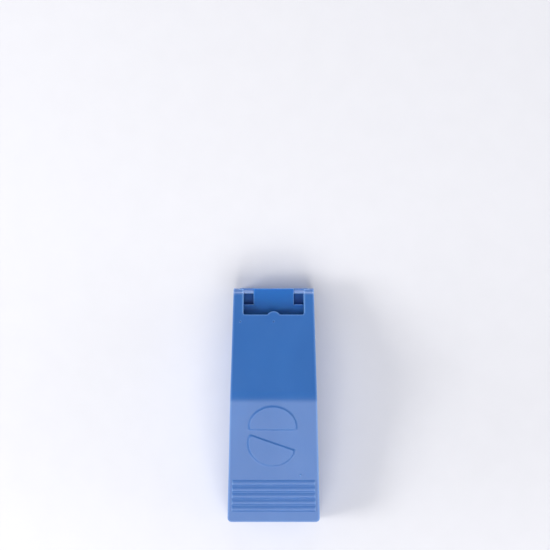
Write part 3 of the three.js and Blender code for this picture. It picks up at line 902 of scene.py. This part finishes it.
@dataclass
class Holder:
    """The flexible insert: a flat plate with the blade's slot, and two arms that form a V."""

    env: Envelope
    slot_half: float = 0.8
    slot_behind_root: float = 4.3
    root_half_gap: float = 1.2
    block_width: float = 2.4
    block_length: float = 3.0
    block_roof_gap: float = 1.1
    block_root: float = 0.6  # how far a block's hidden root runs down into the plate
    arm_length: float = 18.0
    arm_thickness: float = 1.7
    tip_thickness: float = 2.6
    tip_length: float = 3.6
    tip_radius: float = 0.8
    shoulder: tuple[float, float] = (2.0, 0.6)  # reach and pull of the curves behind the tip
    tip_margin: float = 0.75
    tip_roof_gap: float = 4.1
    nose_radius: float = 2.4
    clamp_tail: float = 1.5
    clamp_gap: float = 0.7
    root_reach: float = 0.2  # how far an arm's root runs into its block
    plate_corner: float = 0.5
    plate_edge: float = 0.18
    block_edge: float = 0.35
    arm_edge: float = 0.28

    def plate(self) -> Solid:
        """Models the plate with its root blocks.

        Returns:
            The plate.
        """
        env = self.env
        under = env.plate_top - env.plate_thickness
        outline = env.stepped(env.wall + env.gap, env.plate_front_y, env.plate_rear_y)
        body = Solid.plan(outline, under, env.plate_top)
        body.rounded(self.plate_corner, 4, upright, 60.0)
        slot_rear = env.root_y + self.slot_behind_root
        slot = [(-self.slot_half, env.plate_front_y - 2.0), (self.slot_half, env.plate_front_y - 2.0),
                *arc((0.0, slot_rear - self.slot_half), self.slot_half, 0, 180, 12)]
        body.cut(Solid.plan(slot, 0.0, env.plate_top + 2.0))
        body.rounded(self.plate_edge, 3, lambda a, b: min(a.z, b.z) > env.plate_top - 0.01, 60.0)
        block_y = env.root_y + env.gap
        block_top = env.rear_ceiling(block_y + self.block_length) - self.block_roof_gap
        block = Solid.box((self.root_half_gap, block_y, env.plate_top - self.block_root),
                          (self.root_half_gap + self.block_width, block_y + self.block_length, block_top))
        block.rounded(self.block_edge, 4, lambda a, b: max(a.z, b.z) > env.plate_top)
        return body.add(block.mirrored(), block)

    def arm_outline(self) -> list[Point]:
        """Draws the right-hand arm in plan, along its own length.

        Returns:
            Its points, from root to tip and back.
        """
        radius, length = self.tip_radius, self.arm_length
        step, (reach, pull) = length - self.tip_length, self.shoulder
        middle = (step, (self.tip_thickness + self.arm_thickness) / 2)
        return [
            (-self.root_reach, 0.0),
            *arc((length - radius, radius), radius, -90, 0, 8),
            *arc((length - radius, self.tip_thickness - radius), radius, 0, 90, 8),
            *bend((step + reach, self.tip_thickness), (step + pull, self.tip_thickness), middle, 5),
            *bend(middle, (step - pull, self.arm_thickness), (step - reach, self.arm_thickness), 5)[1:],
            (-self.root_reach, self.arm_thickness),
        ]

    def arm(self) -> Solid:
        """Models the right-hand arm, its top sloping with the roof and its nose rounded.

        Returns:
            The arm.
        """
        env = self.env
        narrowest = min(env.half_width(env.root_y), env.half_width(env.root_y - self.arm_length))
        span = narrowest - env.wall - self.tip_margin - self.root_half_gap
        lean = math.asin(span / math.hypot(self.arm_length, self.tip_thickness))
        lean -= math.atan2(self.tip_thickness, self.arm_length)
        tip_y = env.root_y - self.arm_length * math.cos(lean)
        tip_top = env.rear_ceiling(tip_y) - self.tip_roof_gap
        root_top = env.rear_ceiling(env.root_y) - env.gap - self.clamp_tail - self.clamp_gap
        slope = (tip_top - root_top) / (env.root_y - tip_y)
        body = Solid.plan(self.arm_outline(), env.plate_top + env.gap, tip_top + 1.0)
        place = Matrix.Translation((self.root_half_gap, env.root_y, 0.0))
        body.moved(place @ Matrix.Rotation(lean - math.pi / 2, 4, "Z"))
        nose = (tip_y + self.nose_radius, tip_top - slope * self.nose_radius)
        rear_y = env.root_y + 1.0
        side = [(tip_y - 1.0, 0.0), (rear_y, 0.0), (rear_y, root_top - slope), nose,
                *bend(nose, (tip_y, tip_top), (tip_y, tip_top - self.nose_radius), 8)[1:],
                (tip_y - 1.0, tip_top - self.nose_radius)]
        body.keep(Solid.side(side, -BEYOND, BEYOND))
        return body.rounded(self.arm_edge, 3, None, 35.0)

    def build(self, finishes: Finishes) -> None:
        """Models and dresses the insert and its two arms.

        Args:
            finishes: The finished materials.
        """
        dress(self.plate().finished("holder_insert"), finishes, Slot.HOLDER, "holder_plate", "base")
        right = self.arm()
        for side, arm in {"left": right.mirrored(), "right": right}.items():
            piece = arm.finished(f"holder_arm_{side}")
            dress(piece, finishes, Slot.HOLDER, f"grip_arm_{side}", f"grip_{side}")


# ---------------------------------------------------------------- lid


@dataclass
class Lid:
    """The roof-shaped cover with its window, tab, cross wall, ribs, ears, relief and finger grip."""

    env: Envelope
    cross_wall: float = 1.8
    cross_wall_ahead: float = 9.2
    ear_strip: float = 3.65
    window_length: float = 9.6
    tab_radius: float = 2.8
    tab_reach: float = 1.2
    ear_rise: float = 3.3
    ear_run: float = 2.7
    hole_radius: float = 1.9
    edge: float = 1.0
    relief_radius: float = 10.0
    relief_proud: float = 0.45
    relief_sink: float = 0.15
    relief_flank: float = 1.5  # width of the sloping edge in plan
    relief_draft: float = 1.1  # the same on the flat side
    relief_tip: float = 0.7  # how far the rounding of the two tips reaches
    relief_edge: float = 0.12
    sink: float = 0.6  # hidden root of the grip steps
    upper_half: tuple[float, float] = (-0.3, 11.9)
    lower_half: tuple[float, float] = (-0.5, 17.0)
    lower_tilt: float = 20.0
    grip_start: float = 4.0
    grip_pitch: float = 2.52
    grip_margin: float = 1.4
    grip_steps: int = 5
    rib: float = 1.2
    rib_depth: float = 4.0
    rib_end: float = 9.5
    rib_round_below: float = 22.5  # a rib's edges that start under this height are rounded
    clamp_half: float = 2.5
    pin_hole: float = 1.1
    wall_edge: float = 0.25
    rib_edge: float = 0.2
    rim_edge: float = 0.2
    window_corner: float = 0.6
    hollow_corners: tuple[float, float] = (0.8, 0.5)  # in plan, and round the ceiling
    dimple: float = 0.42
    dimple_rise: float = 0.18  # its ball's centre stands this far over the facet
    dimple_places: tuple[Point, ...] = ((0.0, 30.9), (-12.3, 30.9))
    nib: float = 0.38
    nib_sink: float = 0.08
    nib_place: Point = (9.9, -25.4)
    grip_nose: tuple[Point, ...] = (
        (0.0, -0.03), (0.12, 0.05), (0.28, 0.13), (0.48, 0.2), (0.7, 0.245), (0.95, 0.26), (1.2, 0.245),
        (1.5, 0.205), (1.85, 0.135), (2.2, 0.045))  # distance up the slope and height of one step's section

    def outline(self) -> list[Point]:
        """Draws the outside in side view.

        Returns:
            Its points: rim, skirt, ear, rounded back corner, ridge and lip.
        """
        env = self.env
        ear_front = env.hinge_y - env.ear_radius
        corner_y = env.back_y - self.ear_run
        skirt = bend((ear_front - env.skirt_run, env.rim_z), (ear_front, env.rim_z),
                     (ear_front, env.hinge_z), 16)
        ear = arc((env.hinge_y, env.hinge_z), env.ear_radius, 180, 360, 48)
        back = bend((env.back_y, env.hinge_z + self.ear_rise), (env.back_y, env.rear_facet(env.back_y)),
                    (corner_y, env.rear_facet(corner_y)), 12)
        return [(env.front_y, env.rim_z), *skirt, *ear[1:], *back, *env.ridge(), (env.front_y, env.lip_z)]

    def outside(self) -> Solid:
        """Models the outside as one solid block with its edges rounded.

        Returns:
            The block.
        """
        env = self.env
        block = Solid.side(self.outline(), -BEYOND, BEYOND)
        block.keep(Solid.plan(env.tapered(0.0, env.front_y, env.back_y + 2.0, env.corner), -2.0, OVER))
        roof_z, ear_y = env.rim_z + 0.4, env.hinge_y - env.ear_radius - env.skirt_run + 0.1
        return block.rounded(self.edge, 5, lambda a, b: min(a.z, b.z) > roof_z or min(a.y, b.y) > ear_y, 13.0)

    def hollow(self) -> Solid:
        """Models the space under the roof, open below and behind.

        Returns:
            The cutter.
        """
        env = self.env
        start, stop = env.front_y + env.wall, env.back_y + BEYOND
        drop = env.front_ceiling(env.ridge_y) - env.rear_ceiling(env.ridge_y)
        peak = env.ridge_y + drop / (env.front_slope + env.rear_slope)
        side = [(start, -2.0), (stop, -2.0), (stop, env.rear_ceiling(stop)), (peak, env.rear_ceiling(peak)),
                (start, env.front_ceiling(start))]
        space = Solid.side(side, -BEYOND, BEYOND)
        in_plan, round_ceiling = self.hollow_corners
        space.keep(Solid.plan(env.tapered(env.wall, start, stop, in_plan), -4.0, OVER))
        return space.rounded(round_ceiling, 4, lambda a, b: min(a.z, b.z) > 1.0, 30.0)

    def window(self) -> Solid:
        """Models the rear window, with the round tab left standing on its front edge.

        Returns:
            The cutter.
        """
        env = self.env
        half = env.rear_half - self.ear_strip
        front = env.back_y - self.window_length
        cutter = Solid.box((-half, front, -2.0), (half, env.back_y + 4.0, OVER))
        cutter.rounded(self.window_corner, 4, lambda a, b: upright(a, b) and max(a.y, b.y) < front + 0.1)
        radius, top = self.tab_radius, OVER + 2.0
        profile = [(0.0, -4.0), (radius, -4.0), (radius, top), (0.0, top)]
        return cutter.cut(Solid.lathe(profile, (0.0, front + self.tab_reach - radius, 0.0), steps=64))

    def inner_walls(self) -> list[Solid]:
        """Models the cross wall ahead of the blade and the two ribs beside its clamp.

        Returns:
            The wall and the ribs.
        """
        env = self.env
        wall_y = env.plate_front_y - self.cross_wall_ahead
        inside = env.wall * 0.5
        half = env.half_width(wall_y) - inside
        roof_y = wall_y - self.cross_wall
        under = env.rim_z + env.gap
        wall = Solid.box((-half, roof_y, under), (half, wall_y, env.front_ceiling(roof_y) + inside))
        wall.rounded(self.wall_edge, 3, lambda a, b: max(a.z, b.z) < under + 0.1)
        rib_front, rib_rear = wall_y - self.cross_wall / 2, env.plate_front_y + self.rib_end
        peak, rear = env.rear_ceiling(env.ridge_y), env.rear_ceiling(rib_rear)
        side = [(rib_front, peak - self.rib_depth), (env.ridge_y, peak - self.rib_depth),
                (rib_rear, rear - self.rib_depth), (rib_rear, rear + inside),
                (env.ridge_y, peak + inside * 0.5), (rib_front, env.front_ceiling(rib_front) + inside)]
        near, below = self.clamp_half + env.gap, self.rib_round_below
        rib = Solid.side(side, near, near + self.rib)
        rib.rounded(self.rib_edge, 3, lambda a, b: min(a.y, b.y) > rib_front + 0.1 and min(a.z, b.z) < below)
        return [wall, rib.mirrored(), rib]

    def facet_place(self) -> Matrix:
        """Finds how a shape drawn flat gets onto the front facet.

        Returns:
            The matrix for (x, distance up the slope from the ridge, height).
        """
        env = self.env
        tilt = Matrix.Rotation(math.atan(env.front_slope), 4, "X")
        return Matrix.Translation((0.0, env.ridge_y, env.ridge_z)) @ tilt

    def half_disc(self, x: float, from_ridge: float, turn: float) -> Solid:
        """Models one raised half tablet with sloping flanks.

        Args:
            x: Place of its flat side's middle across the lid.
            from_ridge: The same along the lid, ahead of the ridge.
            turn: Direction of its flat side in degrees.

        Returns:
            The half disc in its place on the front facet.
        """
        radius, tip, drop = self.relief_radius, self.relief_tip, self.relief_draft
        trim = math.degrees(tip / radius)
        round_side = arc((0.0, 0.0), radius, trim, 180 - trim, 44)
        outline = [*round_side, *bend(round_side[-1], (-radius, -drop), (tip - radius, -drop), 4)[1:],
                   *bend((radius - tip, -drop), (radius, -drop), round_side[0], 4)[:-1]]
        shape = Solid.plan(outline, -self.relief_sink, self.relief_proud)
        inner = radius - self.relief_flank
        for vert in shape.mesh.verts:
            if vert.co.z > 0.0:
                vert.co.xy = (vert.co.x * inner / radius, (vert.co.y + drop) * inner / (radius + drop))
        shape.rounded(self.relief_edge, 2, lambda a, b: min(a.z, b.z) > self.relief_proud - 0.01, 10.0)
        bmesh.ops.remove_doubles(shape.mesh, verts=shape.mesh.verts, dist=0.01)
        along = -from_ridge * math.hypot(1.0, self.env.front_slope)
        shape.moved(Matrix.Translation((x, along, 0.0)) @ Matrix.Rotation(math.radians(turn), 4, "Z"))
        return shape.moved(self.facet_place())

    def grip(self) -> Solid:
        """Models the finger grip: steps whose rounded noses face the front, like stair treads.

        Returns:
            The steps in their place on the front facet.
        """
        env = self.env
        slant = math.hypot(1.0, env.front_slope)
        start = self.grip_start - (env.ridge_y - env.front_y) * slant
        noses = [start + i * self.grip_pitch for i in range(self.grip_steps)]
        top = [(nose + along, height) for nose in noses for along, height in self.grip_nose]
        stop = start + self.grip_steps * self.grip_pitch
        section = [(start, -self.sink), (stop, -self.sink), (stop, self.grip_nose[0][1]), *reversed(top)]
        steps = Solid.side(section, -BEYOND, BEYOND).moved(self.facet_place())
        plan = env.tapered(self.grip_margin, env.front_y + 1.0, env.ridge_y)
        return steps.keep(Solid.plan(plan, 0.0, OVER))

    def ball(self, radius: float, x: float, y: float, z: float) -> Solid:
        """Makes a small ball.

        Args:
            radius: Its radius.
            x: Its place across the lid.
            y: Its place along the lid.
            z: Its height.

        Returns:
            The ball.
        """
        mesh = bmesh.new()
        bmesh.ops.create_icosphere(mesh, subdivisions=3, radius=radius)
        bmesh.ops.translate(mesh, verts=mesh.verts, vec=(x, y, z))
        return Solid(mesh)

    def dimples(self) -> list[Solid]:
        """The cutters for the tiny marks on the rear facet."""
        height = self.dimple_rise
        return [self.ball(self.dimple, x, y, self.env.rear_facet(y) + height) for x, y in self.dimple_places]

    def gate_nib(self) -> Solid:
        """The nib left where the melt entered the mould, beside the finger grip."""
        x, y = self.nib_place
        return self.ball(self.nib, x, y, self.env.front_facet(y) - self.nib_sink)

    def pin_places(self) -> list[Point]:
        """Where the two cross pins go, as (y, z), front then rear."""
        middles = [(low(name) + high(name)) / 2 for name in ("blade_pin_front", "blade_pin_rear")]
        return [(middle.y, middle.z) for middle in middles]

    def build(self, finishes: Finishes) -> None:
        """Models and dresses the lid.

        Args:
            finishes: The finished materials.
        """
        env = self.env
        body = self.outside()
        body.cut(self.hollow())
        body.add(*self.inner_walls())
        body.cut(self.window())
        reach = self.clamp_half + env.gap + self.rib + 0.8
        for y, z in self.pin_places():
            body.cut(Solid.rod(self.pin_hole, -reach, reach, y, z, steps=32))
        body.cut(Solid.rod(self.hole_radius, -BEYOND, BEYOND, env.hinge_y, env.hinge_z, steps=64))
        rim = env.rim_z
        body.rounded(self.rim_edge, 2, lambda a, b: max(abs(a.z - rim), abs(b.z - rim)) < 0.02, 60.0)
        body.cut(*self.dimples())
        body.add(self.grip(), self.gate_nib())
        lower_turn = 180.0 - self.lower_tilt
        body.add(self.half_disc(*self.upper_half, 0.0), self.half_disc(*self.lower_half, lower_turn))
        dress(body.finished("lid"), finishes, Slot.LID, "lid_shell", "lid")


# ---------------------------------------------------------------- blade, clamp and pins


@dataclass
class Cutter:
    """The blade, the two clamp halves that hold it under the roof, and the two cross pins."""

    env: Envelope
    lid: Lid
    thickness: float = 0.5
    bevel: float = 1.6
    edge_width: float = 0.05
    clamp_tail: float = 1.5
    clamp_clear: float = 5.6
    clamp_edge: float = 0.25
    pin_radius: float = 0.8
    pin_chamfer: float = 0.15

    def pierced(self, body: Solid, start: float, stop: float) -> Solid:
        """Cuts the cross pins' holes through the blade or a clamp half.

        Args:
            body: The blade or the clamp half.
            start: Where the holes' cutters start across the splitter.
            stop: Where they end.

        Returns:
            The same solid.
        """
        radius, places = self.lid.pin_hole, self.lid.pin_places()
        return body.cut(*(Solid.rod(radius, start, stop, y, z, steps=32) for y, z in places))

    def blade(self) -> Solid:
        """Models the double-bevelled blade.

        Returns:
            The blade.
        """
        env = self.env
        y0, y1 = low("blade").y, high("blade").y
        edge = low("blade").z
        side = [(y0, edge), (y1, edge), *((y, env.rear_ceiling(y) - env.gap) for y in (y1, y0))]
        half, thin = self.thickness / 2, self.edge_width / 2
        section = [(-thin, edge), (thin, edge), (half, edge + self.bevel), (half, OVER), (-half, OVER),
                   (-half, edge + self.bevel)]
        strip = Solid.side(side, -1.0, 1.0).keep(Solid.front(section, y0 - 1.0, y1 + 1.0))
        return self.pierced(strip, -2.0, 2.0)

    def clamp(self) -> Solid:
        """Models the right-hand clamp half.

        Returns:
            The clamp half.
        """
        env = self.env
        y0, y1 = low("blade_clamp_right").y, high("blade_clamp_right").y
        under = env.plate_top + self.clamp_clear
        drop = env.gap + self.clamp_tail
        bend_y = env.ridge_y + (env.rear_ceiling(env.ridge_y) - drop - under) / env.rear_slope
        side = [(y0, under), (bend_y, under), (y1, env.rear_ceiling(y1) - drop),
                (y1, env.rear_ceiling(y1) - env.gap), (y0, env.rear_ceiling(y0) - env.gap)]
        half = Solid.side(side, self.thickness / 2 + env.gap, self.lid.clamp_half)
        return self.pierced(half.rounded(self.clamp_edge, 3), -1.0, 4.0)

    def build(self, finishes: Finishes) -> None:
        """Models and dresses the blade, the clamp halves and the cross pins.

        Args:
            finishes: The finished materials.
        """
        blade = self.blade().finished("cutting_blade", 12.0)
        dress(blade, finishes, Slot.BLADE, "blade", "lid")
        right = self.clamp()
        for side, half in {"left": right.mirrored(), "right": right}.items():
            dress(half.finished(f"clamp_half_{side}"), finishes, Slot.LID, f"blade_clamp_{side}", "lid")
        reach = self.lid.clamp_half + self.env.gap + self.lid.rib
        for end, (y, z) in zip(("front", "rear"), self.lid.pin_places()):
            pin = Solid.rod(self.pin_radius, -reach, reach, y, z, self.pin_chamfer, 32)
            dress(pin.finished(f"cross_pin_{end}"), finishes, Slot.PIN, f"blade_pin_{end}", "lid")


@dataclass
class HingePins:
    """The two short headed pins the lid swings on."""

    env: Envelope
    radius: float = 1.6
    head_radius: float = 2.6
    head: float = 0.85
    chamfer: float = 0.25

    def build(self, finishes: Finishes) -> None:
        """Models and dresses both pins.

        Args:
            finishes: The finished materials.
        """
        env, chamfer = self.env, self.chamfer
        start, stop = low("hinge_pin_right").x, high("hinge_pin_right").x
        length = stop - start
        profile = [(0.0, 0.0), (self.head_radius - chamfer, 0.0), (self.head_radius, chamfer),
                   (self.head_radius, self.head), (self.radius, self.head), (self.radius, length - chamfer),
                   (self.radius - chamfer, length), (0.0, length)]
        right = Solid.lathe(profile, (start, env.hinge_y, env.hinge_z), ACROSS, 64)
        for side, pin in {"left": right.mirrored(), "right": right}.items():
            dress(pin.finished(f"hinge_stud_{side}"), finishes, Slot.TRAY, f"hinge_pin_{side}", "base")


# ---------------------------------------------------------------- studio


@dataclass(frozen=True)
class Softbox:
    """One rectangular lamp: its place and sides in metres, its power in watts and its colour."""

    name: str
    place: tuple[float, float, float]
    size: tuple[float, float]
    power: float
    colour: str = "#FFFFFF"


@dataclass
class Studio:
    """The floor, the lights and the camera. Lengths are in metres."""

    centre: Vector
    sky: str = "#E2E4EE"
    sky_strength: float = 0.30
    softboxes: tuple[Softbox, ...] = (
        Softbox("front_softbox", (0.05, -0.60, 0.95), (0.9, 0.7), 7.0),
        Softbox("front_low_softbox", (0.0, -0.95, 0.70), (0.9, 0.4), 4.0),
        Softbox("key_softbox", (-0.85, -0.15, 0.62), (0.35, 0.35), 5.6, "#FFFDF8"),
        Softbox("left_strip", (-0.85, 0.05, 0.20), (0.9, 0.12), 4.5),
        Softbox("right_strip", (0.85, 0.05, 0.20), (0.9, 0.12), 3.5),
        Softbox("rear_strip", (0.0, 0.85, 0.12), (0.8, 0.10), 5.0),
    )
    view_width: float = 0.2021
    distance: float = 1.1
    view_shift: tuple[float, float] = (0.0005, 0.0480)
    object_height: float = 0.02
    floor_size: float = 3.0

    def floor(self) -> None:
        """Lays the pale floor."""
        mesh = bmesh.new()
        bmesh.ops.create_grid(mesh, x_segments=1, y_segments=1, size=self.floor_size / 2)
        data = bpy.data.meshes.new("floor")
        mesh.to_mesh(data)
        mesh.free()
        piece = bpy.data.objects.new("floor", data)
        bpy.context.scene.collection.objects.link(piece)
        piece.data.materials.append(PaleCard().build())

    def hang(self, box: Softbox) -> None:
        """Hangs one softbox that looks at the splitter.

        Args:
            box: The softbox.
        """
        data = bpy.data.lights.new(box.name, "AREA")
        data.shape = "RECTANGLE"
        data.size, data.size_y = box.size
        data.energy = box.power
        data.color = linear(box.colour)[:3]
        lamp = bpy.data.objects.new(box.name, data)
        lamp.location = box.place
        lamp.rotation_euler = (self.centre - Vector(box.place)).to_track_quat("-Z", "Y").to_euler()
        bpy.context.scene.collection.objects.link(lamp)

    def light(self) -> None:
        """Sets the even sky."""
        world = bpy.data.worlds.new("studio_sky")
        world.use_nodes = True
        backdrop = world.node_tree.nodes["Background"]
        backdrop.inputs["Color"].default_value = linear(self.sky)
        backdrop.inputs["Strength"].default_value = self.sky_strength
        bpy.context.scene.world = world

    def camera(self) -> None:
        """Looks straight down, with the splitter in the lower half of the picture."""
        data = bpy.data.cameras.new("camera")
        data.sensor_width = 36.0
        data.lens = data.sensor_width * self.distance / self.view_width
        camera = bpy.data.objects.new("camera", data)
        x, y = self.view_shift
        camera.location = (x, y, self.object_height + self.distance)
        bpy.context.scene.collection.objects.link(camera)
        bpy.context.scene.camera = camera

    def build(self) -> None:
        """Sets up the floor, the sky, the lamps and the camera."""
        self.floor()
        self.light()
        for box in self.softboxes:
            self.hang(box)
        self.camera()


# ---------------------------------------------------------------- assembly


def main() -> None:
    """Builds the finishes, the splitter's sub-assemblies in order, and the studio."""
    logging.basicConfig(level=logging.INFO, format="%(name)s: %(message)s")
    bpy.context.scene.view_settings.view_transform = "Standard"
    env = Envelope()
    lid = Lid(env)
    cutter = Cutter(env, lid)
    finishes = {
        Slot.LID: MouldedPlastic("lid_polypropylene", "#2F64A7", "#2C60A2").build(),
        Slot.TRAY: MouldedPlastic("tray_polypropylene", "#1D65B0", "#1A61AC", glow=0.4, glow_mm=2.4,
                                  edge_highlight_mm=0.4).build(),
        Slot.HOLDER: MouldedPlastic("holder_polypropylene", "#1D5CA4", "#1A589E", roughness=0.42).build(),
        Slot.BLADE: GroundSteel("blade_steel", "#E3E6EA", "#D6DADF",
                                bevel_top_mm=low("blade").z + cutter.bevel).build(),
        Slot.PIN: GroundSteel("pin_wire", "#C4C8CD", "#B4B9BF", 0.3, 0.2, (0.05, 1.0, 1.0)).build(),
    }
    for assembly in (Tray(env), Holder(env), lid, cutter, HingePins(env)):
        assembly.build(finishes)
    Studio(Vector((0.0, 0.0, 0.015))).build()
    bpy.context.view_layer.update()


if __name__ == "__main__":
    main()
